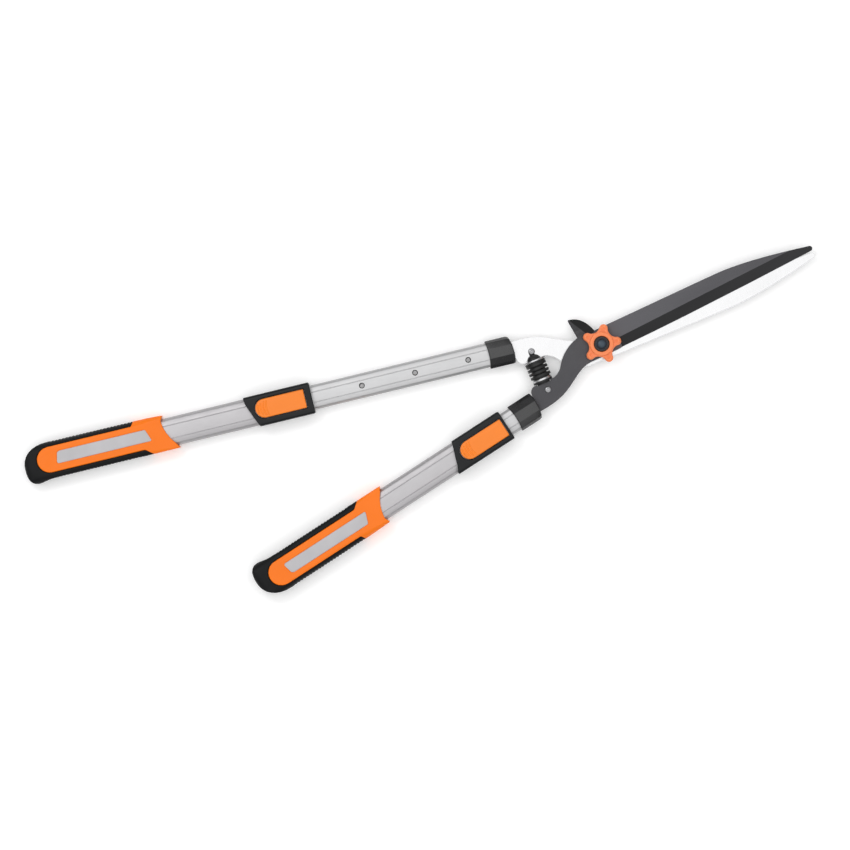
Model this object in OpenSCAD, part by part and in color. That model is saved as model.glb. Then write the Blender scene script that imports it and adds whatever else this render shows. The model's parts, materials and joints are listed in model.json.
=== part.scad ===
// Telescopic hedge shears: two crossed plate blades on one pivot, a sprung stop between the
// shanks, and two telescoping oval-tube handles with push-button locks and soft grips.
// Frame: origin on the pivot axis at the flat face of the pivot bolt's head, +Z up through the
// star knob, +X towards the blade tips, +Y towards the handle of the bright (rear) blade.
// Millimetres. The front (coated) blade lies above the rear (bright) blade.

/* [Blades] */
// Distance from the pivot to the blade tips
blade_len = 301.5; // [280:0.5:330]
// Thickness of each blade plate
blade_t = 4; // [3.5:0.5:4.5]
// Gap between the two blade plates
blade_gap = 0.7; // [0.6:0.1:1]
// Width of the ground edge
grind_w = 13; // [9:0.5:15]
// Thickness left at the cutting edge
edge_t = 0.9; // [0.6:0.1:1.4]

/* [Pivot] */
// Radius of the pivot bolt's shank
bolt_r = 5; // [4.5:0.25:5.5]
// Running clearance on the pivot bolt, on the radius
fit = 0.06; // [0.04:0.01:0.08]
// Across-corners diameter of the bolt head
head_d = 19.6; // [17:0.2:22]
// Thickness of the bolt head
head_h = 5; // [4.5:0.5:5]
// Radius of the star knob at its arm ends
knob_r = 25.9; // [25:0.1:27]
// Thickness of the knob's arms
knob_h = 9.5; // [8:0.5:10]

/* [Buffer] */
// Distance of the buffer's axis behind the pivot
buffer_x = 88.5; // [87:0.5:90]
// Radius of the rubber buffer
buffer_r = 13.7; // [12:0.1:14]
// Travel of the buffer cap
buffer_travel = 3; // [1:0.5:3]

/* [Handles] */
// Angle between each handle and the blade line
hand_angle = 9.7; // [9.5:0.1:10]
// Distance from the pivot to each handle's axis
hand_offset = 20.6; // [20:0.1:21]
// Distance between the index holes
index_pitch = 71; // [68:1:71]
// Distance from the last but one index hole to the last
last_pitch = 79; // [72:1:79]
// Half width and half height of the inner tube
inner_hw = 16.1; // [15.8:0.1:16.3]
inner_hh = 8.3; // [8:0.1:8.5]
// Half width and half height of the outer tube
outer_hw = 19; // [18.8:0.1:19.4]
outer_hh = 11; // [10.8:0.1:11.2]
// Wall thickness of both tubes
tube_wall = 1.5; // [1.2:0.1:1.6]

/* [Lock] */
// Radius of the lock pin
pin_r = 2.6; // [2.2:0.1:2.8]
// Radius of the index holes
index_r = 3.4; // [3.2:0.1:3.6]
// Gap between the lock pin's tip and the inner tube
pin_gap = 0.35; // [0.3:0.05:0.5]

/* [Grips] */
// Full width of a grip
grip_w = 51.2; // [50:0.2:52]
// Full thickness of a grip
grip_t = 32; // [31:0.5:34]

/* [Hidden] */
$fn = 48;

// Colours
steel_black = [0.27, 0.27, 0.29];
steel_bright = [0.86, 0.87, 0.88];
steel_plain = [0.70, 0.71, 0.73];
alu = [0.80, 0.80, 0.82];
plastic_black = [0.16, 0.16, 0.17];
rubber_black = [0.12, 0.13, 0.14];
orange = [0.96, 0.47, 0.16];
soft_grey = [0.78, 0.81, 0.83];

// Levels above the origin, along the pivot axis
head_washer_t = 1.5;
play = 0.1;
rear_z = head_h + head_washer_t + play;
mid_z = rear_z + blade_t + blade_gap / 2;
front_z = mid_z + blade_gap / 2;
knob_washer_t = 1.2;
knob_z = front_z + blade_t + knob_washer_t + play;
hub_h = knob_h + 3;

// Places along a handle, measured from the pivot's foot on the handle's axis
collar_u = 112;
collar_l = 35.5;
collar_hw = 18.3;
collar_hh = 12.4;
tube_u = 122;
tang_end_u = 168;
screw_u = 134;
screw_r = 2.1;
lock_u = 160.5;
pin_s = 12.5;
index_travel = 2 * index_pitch + last_pitch;
index_u = [for (x = [0, index_pitch, 2 * index_pitch, index_travel]) lock_u + pin_s + x];
inner_end_u = lock_u + index_travel + 82;
inner_flat = 6.8;
outer_flat = 8.7;

// Places along the sliding part of a handle, measured from the lock housing's front
outer_s = 3;
outer_end_s = 352;
housing_hw = 20.7;
housing_z = [-13.4, 17];
lock_screw_s = 58;
rocker_s = 40;
rocker_z = 14.4;
rocker_pin_r = 1.5;
button_l = 66;
button_w = 24.6;
button_v = 1.2;
grip_out = 25.4;
inner_v = grip_out - grip_w;
sleeve_s = 181;
butt_s = 384.5;
core_v = [-15.2, 18.6];
core_end_s = 366.3;
insert_floor = grip_t / 2 - 1.6;

// Star knob and its recess
knob_turn = 59.5;
knob_arm_r = 5.5;
knob_hub_r = 15.4;
recess_r = 10.3;
recess_h = 5;

// Buffer levels along +Y, from the closed-blade line
ear_y = 15.4;
notch = 2;
rivet_at = [-87, -27];
rivet_r = 2.45;
dome_r = 9;
dome_h = 7.6;
lug_r = 4.2;
lug_t = 1.5;
stem_r = 4;
flange_y = [-ear_y, -13];
washer_y = [-13, -10.5];
rubber_y = [-10.5, 11];
cap_y = [11, 13.2];
plate_y = [13.5, 15.35];

// ---- small tools -------------------------------------------------------------------------

function bez(a, b, c, d, n) = [for (i = [0 : n - 1]) let (t = i / n, s = 1 - t)
    s * s * s * a + 3 * s * s * t * b + 3 * s * t * t * c + t * t * t * d];
function arc(c, r, from, to, n) = [for (i = [0 : n]) let (a = from + (to - from) * i / n)
    [c[0] + r * cos(a), c[1] + r * sin(a)]];

// A point of the front handle: u along the handle, v outwards from its axis
function hand_point(u, v) = [
    -u * cos(hand_angle) + (hand_offset + v) * sin(hand_angle),
    -u * sin(hand_angle) - (hand_offset + v) * cos(hand_angle)];

// A tube section: flat top and bottom, sloped shoulders, short flat sides
function quarter(hw, hh, flat) = [
    [flat, hh], [flat + 0.66 * (hw - flat), 0.84 * hh],
    [flat + 0.92 * (hw - flat), 0.55 * hh], [hw, 0.24 * hh]];
function oval(hw, hh, flat) = let (q = quarter(hw, hh, flat)) concat(
    q,
    [for (i = [3 : -1 : 0]) [q[i][0], -q[i][1]]],
    [for (i = [0 : 3]) [-q[i][0], -q[i][1]]],
    [for (i = [3 : -1 : 0]) [-q[i][0], q[i][1]]]);

// Extrudes a (v, z) section along the handle from u0 to u1
module along(u0, u1) {
    translate([u0, 0, 0]) rotate([90, 0, 90]) linear_extrude(u1 - u0) children();
}

// Extrudes a (u, z) side profile over the whole handle width
module across(w) {
    translate([0, w / 2, 0]) rotate([90, 0, 0]) linear_extrude(w) children();
}

module rounded_box(v0, v1, z0, z1, r) {
    translate([v0 + r, z0]) square([v1 - v0 - 2 * r, z1 - z0]);
    translate([v0, z0 + r]) square([v1 - v0, z1 - z0 - 2 * r]);
    for (v = [v0 + r, v1 - r], z = [z0 + r, z1 - r]) translate([v, z]) circle(r);
}

module ring(r_out, r_in, h) {
    difference() {
        cylinder(r = r_out, h = h);
        translate([0, 0, -1]) cylinder(r = r_in, h = h + 2);
    }
}

// The frame of the front handle, or of the rear one, its mirror image
module on_hand(side) {
    if (side == "front") hand_frame() children();
    else mirror([0, 1, 0]) hand_frame() children();
}
module hand_frame() {
    rotate([0, 0, 180 + hand_angle]) translate([0, hand_offset, mid_z]) children();
}

// The sliding part of a handle: the front one pushed in, the rear one drawn out
module on_slide(side) {
    on_hand(side) translate([lock_u + (side == "front" ? 0 : index_travel), 0, 0]) children();
}

// The rear blade and its fittings are the front ones turned over about the blade line
module turned(side) {
    if (side == "front") children();
    else translate([0, 0, mid_z]) rotate([180, 0, 0]) translate([0, 0, -mid_z]) children();
}

// The buffer's frame: Z runs along +Y on the buffer's axis
module on_buffer(y) {
    translate([-buffer_x, y, mid_z]) rotate([-90, 0, 0]) children();
}

// ---- blades ------------------------------------------------------------------------------

edge_root = [24, -13.9];
edge_tip = [blade_len - 2.5, 3.5];
tip_top = [blade_len - 3.5, 10.4];
spine_top = [0.59 * blade_len, 25.3];

// Closed blades end tip on tip: from the edge's root on, the rear outline runs this much lower
// at the tip
rear_close = 4.4;
function close_at(side) = side == "front" ? 0 : rear_close / (blade_len - edge_root[0]);
function closed(side, points) =
    [for (p = points) [p[0], p[1] - close_at(side) * max(0, p[0] - edge_root[0])]];

function blade_spine() = concat(
    [[-1.2, 19.8]],
    bez([22, 20.8], [74, 21.9], [126, 24.3], spine_top, 6),
    bez(spine_top, [0.71 * blade_len, 25.3], [0.87 * blade_len, 17.2], tip_top, 10));
function blade_tip() = arc([blade_len - 3.5, 6.9], 3.5, 85, -70, 6);
function blade_edge() = bez(
    edge_tip, [0.71 * blade_len, -3.2], [0.385 * blade_len, -10.4], edge_root, 6);
function shank_outer() = concat(
    [edge_root, [20, -14.7], [0, -15.7]],
    bez([-22, -16.2], [-36, -17], [-48, -28], [-60, -35.2], 7),
    bez([-60, -35.2], [-72, -42.5], [-86, -47.4], [-104, -48.6], 6));
function tang() = [
    hand_point(collar_u + 0.2, 9.9), hand_point(140, 9.9), hand_point(tang_end_u - 2, 8.6),
    hand_point(tang_end_u, 6.6), hand_point(tang_end_u, -6.6), hand_point(tang_end_u - 2, -8.6),
    hand_point(140, -11), hand_point(collar_u + 0.8, -11)];
function ear() = concat(
    [hand_point(collar_u - 0.2, -13.6)],
    bez([-108.8, -22.4], [-108, -19.2], [-104.8, -16.6], [-101.5, -ear_y], 4),
    [[-98, -ear_y], [-98, -ear_y - notch], [-79, -ear_y - notch], [-79, -ear_y]],
    bez([-73.2, -ear_y], [-69, -14], [-63.5, -10.8], [-60.6, -6.25], 5));
function shank_inner() = concat(
    bez([-60.6, -6.25], [-55, 3], [-44, 14.5], [-25.6, 19.6], 8), [[-25.6, 19.6]]);
function horn() = concat(
    [[-28.4, 43.2], [-28.2, 44.9], [-27.3, 45.6], [-26, 45.3]],
    bez([-26, 45.3], [-12.5, 43], [-5.5, 32.5], [-1.2, 19.8], 8));

module blade_outline(side) {
    polygon(concat(closed(side, concat(blade_spine(), blade_tip(), blade_edge())),
        shank_outer(), tang(), ear(), shank_inner(), side == "front" ? horn() : []));
}

// Wedge that grinds a flat slope down to the line from a to b; run is the slope's width,
// drop its depth there and over the part of the slope beyond the line
module grind(a, b, run, drop, over) {
    d = b - a;
    slope = drop / run;
    translate([a[0], a[1], front_z + blade_t]) rotate([0, 0, atan2(d[1], d[0])])
        rotate([90, 0, 90]) linear_extrude(norm(d) + 12)
            polygon([[run, 0], [run, 3], [-over, 3], [-over, -slope * (run + over)]]);
}

module blade_plate(side) {
    difference() {
        translate([0, 0, front_z]) linear_extrude(blade_t) blade_outline(side);
        translate([0, 0, front_z - 1]) cylinder(r = bolt_r + fit, h = blade_t + 2);
        grind(edge_root, closed(side, [edge_tip])[0], grind_w, blade_t - edge_t, 4);
        if (side == "front") grind([-8.6, 15.1], [-26.3, 46.1], 1, 0.21, 14);
        rivet_hole();
        hand_frame() translate([screw_u, 0, -1]) cylinder(r = screw_r, h = blade_t + 4);
    }
}

module rivet_hole() {
    translate([rivet_at[0], rivet_at[1], front_z - 4]) cylinder(r = rivet_r + 0.02, h = blade_t + 8);
}

module front_blade() { color(steel_black) blade_plate("front"); }
module rear_blade() { color(steel_bright) turned("rear") blade_plate("rear"); }

// ---- pivot -------------------------------------------------------------------------------

module pivot_bolt() {
    color(steel_plain) {
        cylinder(d = head_d, h = head_h, $fn = 6);
        translate([0, 0, head_h - 1]) cylinder(r = bolt_r, h = knob_z + 9 - head_h + 1);
    }
}

module head_washer() {
    color(steel_plain) translate([0, 0, head_h]) ring(12, bolt_r + 0.2, head_washer_t);
}

module blade_washer() {
    color(steel_plain) translate([0, 0, front_z - 0.6]) ring(13, bolt_r + 0.2, 0.6);
}

module knob_washer() {
    color(steel_plain) translate([0, 0, front_z + blade_t]) ring(14, bolt_r + 0.2, knob_washer_t);
}

// Five arms with round ends, left between five round hollows
module knob_outline() {
    hollow_r = 10.8;
    hollow_at = 27.3;
    difference() {
        circle(21);
        for (i = [0 : 4]) rotate(72 * i + 36 + knob_turn) translate([hollow_at, 0]) circle(hollow_r);
    }
    for (i = [0 : 4]) rotate(72 * i + knob_turn) translate([knob_r - knob_arm_r, 0])
        circle(knob_arm_r);
}

module star_knob() {
    color(orange) translate([0, 0, knob_z]) difference() {
        union() {
            linear_extrude(knob_h) knob_outline();
            cylinder(r = knob_hub_r, h = hub_h);
        }
        translate([0, 0, -1]) cylinder(r = bolt_r + fit, h = hub_h + 2);
        translate([0, 0, hub_h - recess_h]) cylinder(r = recess_r, h = recess_h + 1);
    }
}

// Domed nut with a round flange, seated in the knob's recess
module cap_nut() {
    wall = 1.7;
    nut_h = recess_h + 0.4;
    color(plastic_black) translate([0, 0, knob_z + hub_h - recess_h]) difference() {
        rotate_extrude() polygon(concat(
            [[0, 0], [recess_r - 0.2, 0], [recess_r - 0.2, 1.4], [bolt_r + wall + 0.3, 1.4]],
            [for (a = [0 : 15 : 90])
                [(bolt_r + wall) * cos(a), 2 + (nut_h - 2) * sin(a)]]));
        translate([0, 0, -1]) cylinder(r = bolt_r + fit, h = 3.2);
    }
}

// ---- buffer and stop ---------------------------------------------------------------------

// Half dome on the inner face of the front blade's ear: its foot fills the ear's notch, and the
// rivet holds its lug
module saddle_body() {
    difference() {
        union() {
            on_buffer(-ear_y) rotate([180, 0, 0]) rotate_extrude() polygon(concat(
                [[0, 0]], [for (a = [0 : 15 : 90]) [dome_r * cos(a), dome_h * sin(a)]]));
            translate([rivet_at[0], rivet_at[1], front_z - lug_t]) {
                cylinder(r = lug_r, h = 2 * lug_t);
                translate([-4.5, 0, 0]) cube([7, 8, 2 * lug_t]);
            }
        }
        translate([-buffer_x - 20, -ear_y - notch - 40, front_z - 0.04]) cube([40, 40, 20]);
        rivet_hole();
    }
}

module buffer_saddle() {
    stem_l = cap_y[0] - buffer_travel - 0.2 - flange_y[0];
    color(plastic_black) {
        saddle_body();
        on_buffer(flange_y[0]) cylinder(r = 13, h = flange_y[1] - flange_y[0]);
        on_buffer(flange_y[0]) cylinder(r = stem_r, h = stem_l);
    }
}

module stop_saddle() { color(plastic_black) turned("rear") saddle_body(); }

module rivet_head() {
    r = 4.2;
    t = 1.7;
    rotate_extrude() polygon([
        [0, 0], [r, 0], [r, 0.5], [r - 0.8, 1.2], [r - 2, t], [1.6, t], [1.2, t - 0.5],
        [0, t - 0.5]]);
}
module saddle_rivet() {
    held = blade_t + lug_t;
    translate([rivet_at[0], rivet_at[1], front_z - lug_t]) {
        cylinder(r = rivet_r, h = held);
        translate([0, 0, held]) rivet_head();
        mirror([0, 0, 1]) rivet_head();
    }
}
module buffer_rivet() { color(steel_bright) saddle_rivet(); }
module stop_rivet() { color(steel_bright) turned("rear") saddle_rivet(); }

module buffer_washer() {
    color(steel_bright) on_buffer(washer_y[0]) ring(13.2, stem_r + 0.1, washer_y[1] - washer_y[0]);
}

// Rubber cylinder with three grooves round it
module buffer_rubber() {
    groove_w = 1.3;
    groove_r = buffer_r - 4;
    grooves = [-4, 1.1, 6.3];
    low = rubber_y[0];
    color(rubber_black) on_buffer(low) difference() {
        cylinder(r = buffer_r, h = rubber_y[1] - low);
        translate([0, 0, -1]) cylinder(r = stem_r + 0.1, h = rubber_y[1] - low + 2);
        translate([0, 0, -1]) ring(buffer_r + 1, buffer_r - 2.2, 3);
        for (y = grooves) translate([0, 0, y - low - groove_w / 2])
            ring(buffer_r + 1, groove_r, groove_w);
    }
}

// Cap with a rounded rim
module buffer_cap() {
    t = cap_y[1] - cap_y[0];
    rim = t - 0.4;
    color(rubber_black) on_buffer(cap_y[0]) rotate_extrude() polygon(concat(
        [[0, 0]],
        [for (a = [0 : 15 : 90]) [buffer_r - rim * (1 - cos(a)), t - rim * (1 - sin(a))]],
        [[0, t]]));
}

module stop_plate() {
    color(steel_bright) on_buffer(plate_y[0]) cylinder(r = 15, h = plate_y[1] - plate_y[0]);
}

// ---- collars and inner tubes -------------------------------------------------------------

// Moulded ferrule: convex slanted front, hollowed back, flat band along its top
module collar(side) {
    half = collar_hw;
    up = side == "front" ? 1 : -1;
    plate_mid = up * (blade_gap + blade_t) / 2;
    color(plastic_black) on_hand(side) difference() {
        intersection() {
            translate([0, 0, -20]) linear_extrude(40) polygon([
                [collar_u + 1.5, -half], [collar_u, -10], [collar_u, 0], [collar_u + 1.3, 10],
                [collar_u + 4.5, half - 1], [collar_u + 6.5, half], [collar_u + collar_l, half],
                [collar_u + collar_l - 2, 9], [collar_u + collar_l - 2.6, 0],
                [collar_u + collar_l - 2, -9], [collar_u + collar_l, -half]]);
            along(collar_u - 1, collar_u + collar_l + 1) polygon(oval(half, collar_hh, 7));
        }
        along(tube_u, collar_u + collar_l + 2) polygon(oval(inner_hw, inner_hh, inner_flat));
        translate([collar_u - 2, -14.2, plate_mid - blade_t / 2 - 0.05])
            cube([14, 24.4, blade_t + 0.1]);
        translate([screw_u, 0, -14]) cylinder(r = screw_r, h = 10);
        translate([screw_u, 0, -14]) cylinder(r = 3.9, h = 3.2);
    }
}
module front_collar() { collar("front"); }
module rear_collar() { collar("rear"); }

// Screw from below that holds collar, tube, plug and tang together
module collar_screw(side) {
    head = 2.2;
    color(steel_plain) on_hand(side) translate([screw_u, 0, -13]) difference() {
        union() {
            cylinder(r = 3.7, h = head);
            translate([0, 0, head - 0.5]) cylinder(r = screw_r - 0.15, h = 16);
        }
        for (a = [0, 90]) rotate([0, 0, a]) translate([-2.4, -0.45, -1]) cube([4.8, 0.9, 2]);
    }
}
module front_collar_screw() { collar_screw("front"); }
module rear_collar_screw() { collar_screw("rear"); }

// Plug that fills the tube's end round the tang
module tang_plug(side) {
    wall = tube_wall + 0.05;
    low = side == "front" ? blade_gap / 2 : -blade_gap / 2 - blade_t;
    color(plastic_black) on_hand(side) difference() {
        along(tube_u, tang_end_u + 1)
            polygon(oval(inner_hw - wall, inner_hh - wall, inner_flat - 0.6));
        translate([tube_u - 1, -11.1, low - 0.05])
            cube([tang_end_u + 0.3 - tube_u + 1, 21.1, blade_t + 0.1]);
        translate([screw_u, 0, -10]) cylinder(r = screw_r, h = 16);
    }
}
module front_tang_plug() { tang_plug("front"); }
module rear_tang_plug() { tang_plug("rear"); }

module inner_tube(side) {
    color(alu) on_hand(side) difference() {
        along(tube_u, inner_end_u) polygon(oval(inner_hw, inner_hh, inner_flat));
        along(tube_u - 1, inner_end_u + 1)
            polygon(oval(inner_hw - tube_wall, inner_hh - tube_wall, inner_flat - 0.6));
        for (u = index_u) translate([u, 0, -20]) cylinder(r = index_r, h = 40);
        translate([screw_u, 0, -20]) cylinder(r = screw_r, h = 20);
    }
}
module front_inner_tube() { inner_tube("front"); }
module rear_inner_tube() { inner_tube("rear"); }

// Slide bush capped over the hidden end of the inner tube
module tube_guide(side) {
    play_v = 0.3;
    wall = tube_wall + play_v;
    color(plastic_black) on_hand(side) difference() {
        along(inner_end_u - 14, inner_end_u + 3)
            polygon(oval(outer_hw - wall, outer_hh - wall, outer_flat - 0.8));
        along(inner_end_u - 15, inner_end_u) polygon(oval(inner_hw, inner_hh, inner_flat));
    }
}
module front_tube_guide() { tube_guide("front"); }
module rear_tube_guide() { tube_guide("rear"); }

// ---- outer tubes and locks ---------------------------------------------------------------

module outer_tube(side) {
    color(alu) on_slide(side) difference() {
        along(outer_s, outer_end_s) polygon(oval(outer_hw, outer_hh, outer_flat));
        along(outer_s - 1, outer_end_s + 1)
            polygon(oval(outer_hw - tube_wall, outer_hh - tube_wall, outer_flat - 0.6));
        translate([pin_s, 0, 0]) cylinder(r = pin_r + 1, h = 20);
        translate([lock_screw_s, 0, -20]) cylinder(r = 1.8, h = 20);
    }
}
module front_outer_tube() { outer_tube("front"); }
module rear_outer_tube() { outer_tube("rear"); }

// The button sits nearer the blades in the front housing than in the rear one
function button_s(side) = side == "front" ? 4 : 9;

// Plan of the button: square towards the blades, round towards the grip
module button_plan(side, grow) {
    half = button_w / 2 + grow;
    flat_l = button_l - button_w / 2;
    translate([button_s(side), button_v]) {
        translate([-grow, -half]) square([flat_l + grow, 2 * half]);
        translate([flat_l, 0]) circle(half);
    }
}

module lock_housing(side) {
    half = housing_hw;
    back = side == "front" ? [86.6, 82.6, 79, 75, 71.8] : [87.6, 86.4, 82.4, 78, 73.6];
    color(plastic_black) on_slide(side) difference() {
        intersection() {
            translate([0, 0, -20]) linear_extrude(40) polygon([
                [0.8, -half], [0, -half + 2], [0, half - 2], [0.8, half], [back[0] - 0.4, half],
                [back[0], half - 1.5], [back[1], 11], [back[2], 0], [back[3], -11],
                [back[4], -half]]);
            along(-1, 90) rounded_box(-half, half, housing_z[0], housing_z[1], 4);
        }
        along(outer_s, 90) polygon(oval(outer_hw, outer_hh, outer_flat));
        along(-1, outer_s + 1) polygon(oval(inner_hw + 0.4, inner_hh + 0.4, inner_flat + 0.2));
        translate([0, 0, 9]) linear_extrude(20) button_plan(side, 0.8);
        rocker_axle(rocker_pin_r);
        translate([lock_screw_s, 0, -20]) cylinder(r = 1.8, h = 10);
        translate([lock_screw_s, 0, -15]) cylinder(r = 3.4, h = 3);
    }
}
module front_lock_housing() { lock_housing("front"); }
module rear_lock_housing() { lock_housing("rear"); }

// Short screw from below through the housing into the outer tube's wall
module lock_screw(side) {
    color(steel_plain) on_slide(side) translate([lock_screw_s, 0, housing_z[0] + 0.1]) difference() {
        union() {
            cylinder(r = 3.2, h = 1.2);
            translate([0, 0, 1]) cylinder(r = 1.75, h = 2.6);
        }
        for (a = [0, 90]) rotate([0, 0, a]) translate([-2, -0.4, -1]) cube([4, 0.8, 1.7]);
    }
}
module front_lock_screw() { lock_screw("front"); }
module rear_lock_screw() { lock_screw("rear"); }

module rocker_axle(r) {
    translate([rocker_s, 16, rocker_z]) rotate([90, 0, 0]) cylinder(r = r, h = 30);
}
module rocker_pin(side) { color(steel_plain) on_slide(side) rocker_axle(rocker_pin_r); }
module front_rocker_pin() { rocker_pin("front"); }
module rear_rocker_pin() { rocker_pin("rear"); }

// Leaf spring that lifts the button's thumb end
module lock_spring(side) {
    t = 0.4;
    color(steel_plain) on_slide(side) translate([0, button_v, 0]) across(7) polygon([
        [47, outer_hh], [57, outer_hh], [67, 14.1 - t], [69.5, 14.1 - t], [69.5, 14.1],
        [66.8, 14.1], [56.8, outer_hh + t], [47, outer_hh + t]]);
}
module front_lock_spring() { lock_spring("front"); }
module rear_lock_spring() { lock_spring("rear"); }

// Rocker: thumb end towards the grip with raised ribs, pin end towards the blades
module lock_button(side) {
    top = housing_z[1];
    ribs_s = button_s(side) + button_l - 15;
    color(orange) on_slide(side) difference() {
        union() {
            intersection() {
                translate([0, 0, 9]) linear_extrude(20) button_plan(side, 0);
                across(60) polygon([
                    [0, top - 4.4], [0, top - 0.6], [20, top + 0.3], [rocker_s, top + 0.6],
                    [58, top + 0.3], [80, top - 0.8], [80, 14.4], [52, 14.4], [46, 12.6],
                    [34, 12.6], [20, 12.6]]);
            }
            translate([rocker_s, button_v + button_w / 2, rocker_z]) rotate([90, 0, 0])
                cylinder(r = 3, h = button_w);
            intersection() {
                translate([0, 0, 9]) linear_extrude(20) button_plan(side, -2.4);
                for (i = [0 : 3])
                    translate([ribs_s + 3.6 * i, -12, top - 1.5]) cube([1.4, 26, 2.2]);
            }
        }
        rocker_axle(rocker_pin_r + 0.06);
        translate([pin_s, 0, 8]) cylinder(r = 1.8, h = 7);
    }
}
module front_lock_button() { lock_button("front"); }
module rear_lock_button() { lock_button("rear"); }

// Steel pin under the button's square end, above an index hole
module lock_pin(side) {
    tip = inner_hh + pin_gap;
    color(steel_plain) on_slide(side) translate([pin_s, 0, tip]) {
        rotate_extrude() polygon([[0, 0], [pin_r - 0.5, 0], [pin_r, 0.5],
            [pin_r, 12.5 - tip], [0, 12.5 - tip]]);
        cylinder(r = 1.75, h = 14.8 - tip);
    }
}
module front_lock_pin() { lock_pin("front"); }
module rear_lock_pin() { lock_pin("rear"); }

// ---- grips -------------------------------------------------------------------------------

// Plan of the whole grip, with the spur at the inner side of the butt
function grip_plan() = concat(
    [[sleeve_s, -22.8], [185, -16], [190.5, -8], [194.5, 0], [197, 8], [198.3, 16], [195, 23.6],
        [215, 24.6], [233, 25], [300, grip_out]],
    bez([350, grip_out], [370, grip_out], [butt_s, 13], [butt_s, -4], 8),
    bez([butt_s, -4], [butt_s, -16], [380, inner_v], [371, inner_v], 6),
    bez([371, inner_v], [365, inner_v], [360, -23], [352, -23], 4),
    [[352, -23], [217, -23]]);

// Plan of the core: full-width sleeve in front, round-ended tongue behind
function core_plan() = let (r = (core_v[1] - core_v[0]) / 2) concat(
    [[170, -40], [210, -40], [216.5, -23], [226, core_v[0]]],
    arc([core_end_s - r, (core_v[0] + core_v[1]) / 2], r, -90, 90, 12),
    [[237.5, core_v[1]], [233, 26], [230, 40], [170, 40]]);

module grip_body() {
    half = grip_t / 2;
    intersection() {
        translate([0, 0, -30]) linear_extrude(60) polygon(grip_plan());
        along(170, 400) rounded_box(inner_v, grip_out, -half, half, 11);
        across(80) polygon(concat(
            [[175, -13.2], [190, -13.8], [232, -half]],
            arc([butt_s - 9, 9 - half], 9, -90, 0, 4), arc([butt_s - 9, half - 9], 9, 0, 90, 4),
            [[232, half], [190, 13.8], [175, 13.2]]));
    }
}

module tube_space() {
    along(170, outer_end_s + 0.1) polygon(oval(outer_hw, outer_hh, outer_flat));
}

module insert_plan() {
    polygon([[214.7, -5.6], [220.5, 10.4], [335, 10.4], [338.2, 8.6], [341, -3.4], [339.6, -5.6]]);
}

module grip_core(side) {
    color(orange) on_slide(side) difference() {
        intersection() {
            grip_body();
            translate([0, 0, -30]) linear_extrude(60) polygon(core_plan());
        }
        tube_space();
        for (m = [0, 1]) mirror([0, 0, m]) translate([0, 0, insert_floor])
            linear_extrude(10) insert_plan();
    }
}
module front_grip_core() { grip_core("front"); }
module rear_grip_core() { grip_core("rear"); }

module grip_rubber(side) {
    color(rubber_black) on_slide(side) difference() {
        grip_body();
        translate([0, 0, -30]) linear_extrude(60) polygon(core_plan());
        tube_space();
    }
}
module front_grip_rubber() { grip_rubber("front"); }
module rear_grip_rubber() { grip_rubber("rear"); }

module grip_insert(side, back) {
    color(soft_grey) on_slide(side) mirror([0, 0, back]) translate([0, 0, insert_floor])
        linear_extrude(2) insert_plan();
}
module front_grip_insert() { grip_insert("front", 0); }
module rear_grip_insert() { grip_insert("rear", 0); }
module front_grip_insert_back() { grip_insert("front", 1); }
module rear_grip_insert_back() { grip_insert("rear", 1); }

module tube_plug(side) {
    wall = tube_wall + 0.05;
    color(plastic_black) on_slide(side) along(outer_end_s - 14, outer_end_s)
        polygon(oval(outer_hw - wall, outer_hh - wall, outer_flat - 0.6));
}
module front_tube_plug() { tube_plug("front"); }
module rear_tube_plug() { tube_plug("rear"); }

// ---- the assembly ------------------------------------------------------------------------

front_blade();
pivot_bolt();
head_washer();
blade_washer();
knob_washer();
star_knob();
cap_nut();
front_collar();
front_collar_screw();
front_tang_plug();
front_inner_tube();
front_tube_guide();
buffer_saddle();
buffer_rivet();
buffer_washer();
buffer_rubber();
buffer_cap();
rear_blade();
rear_collar();
rear_collar_screw();
rear_tang_plug();
rear_inner_tube();
rear_tube_guide();
stop_saddle();
stop_rivet();
stop_plate();
front_outer_tube();
front_lock_housing();
front_lock_screw();
front_rocker_pin();
front_lock_spring();
front_grip_core();
front_grip_rubber();
front_grip_insert();
front_grip_insert_back();
front_tube_plug();
front_lock_button();
front_lock_pin();
rear_outer_tube();
rear_lock_housing();
rear_lock_screw();
rear_rocker_pin();
rear_lock_spring();
rear_grip_core();
rear_grip_rubber();
rear_grip_insert();
rear_grip_insert_back();
rear_tube_plug();
rear_lock_button();
rear_lock_pin();
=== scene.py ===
"""Telescopic hedge shears, seen from straight above.

Shapes are worked out in millimetres: each handle's parts in the handle's own frame (along,
outwards, up), the rest in the row frame.
"""

import json
import math

import bmesh
import bpy
import numpy as np
from mathutils import Matrix, Vector


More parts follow.
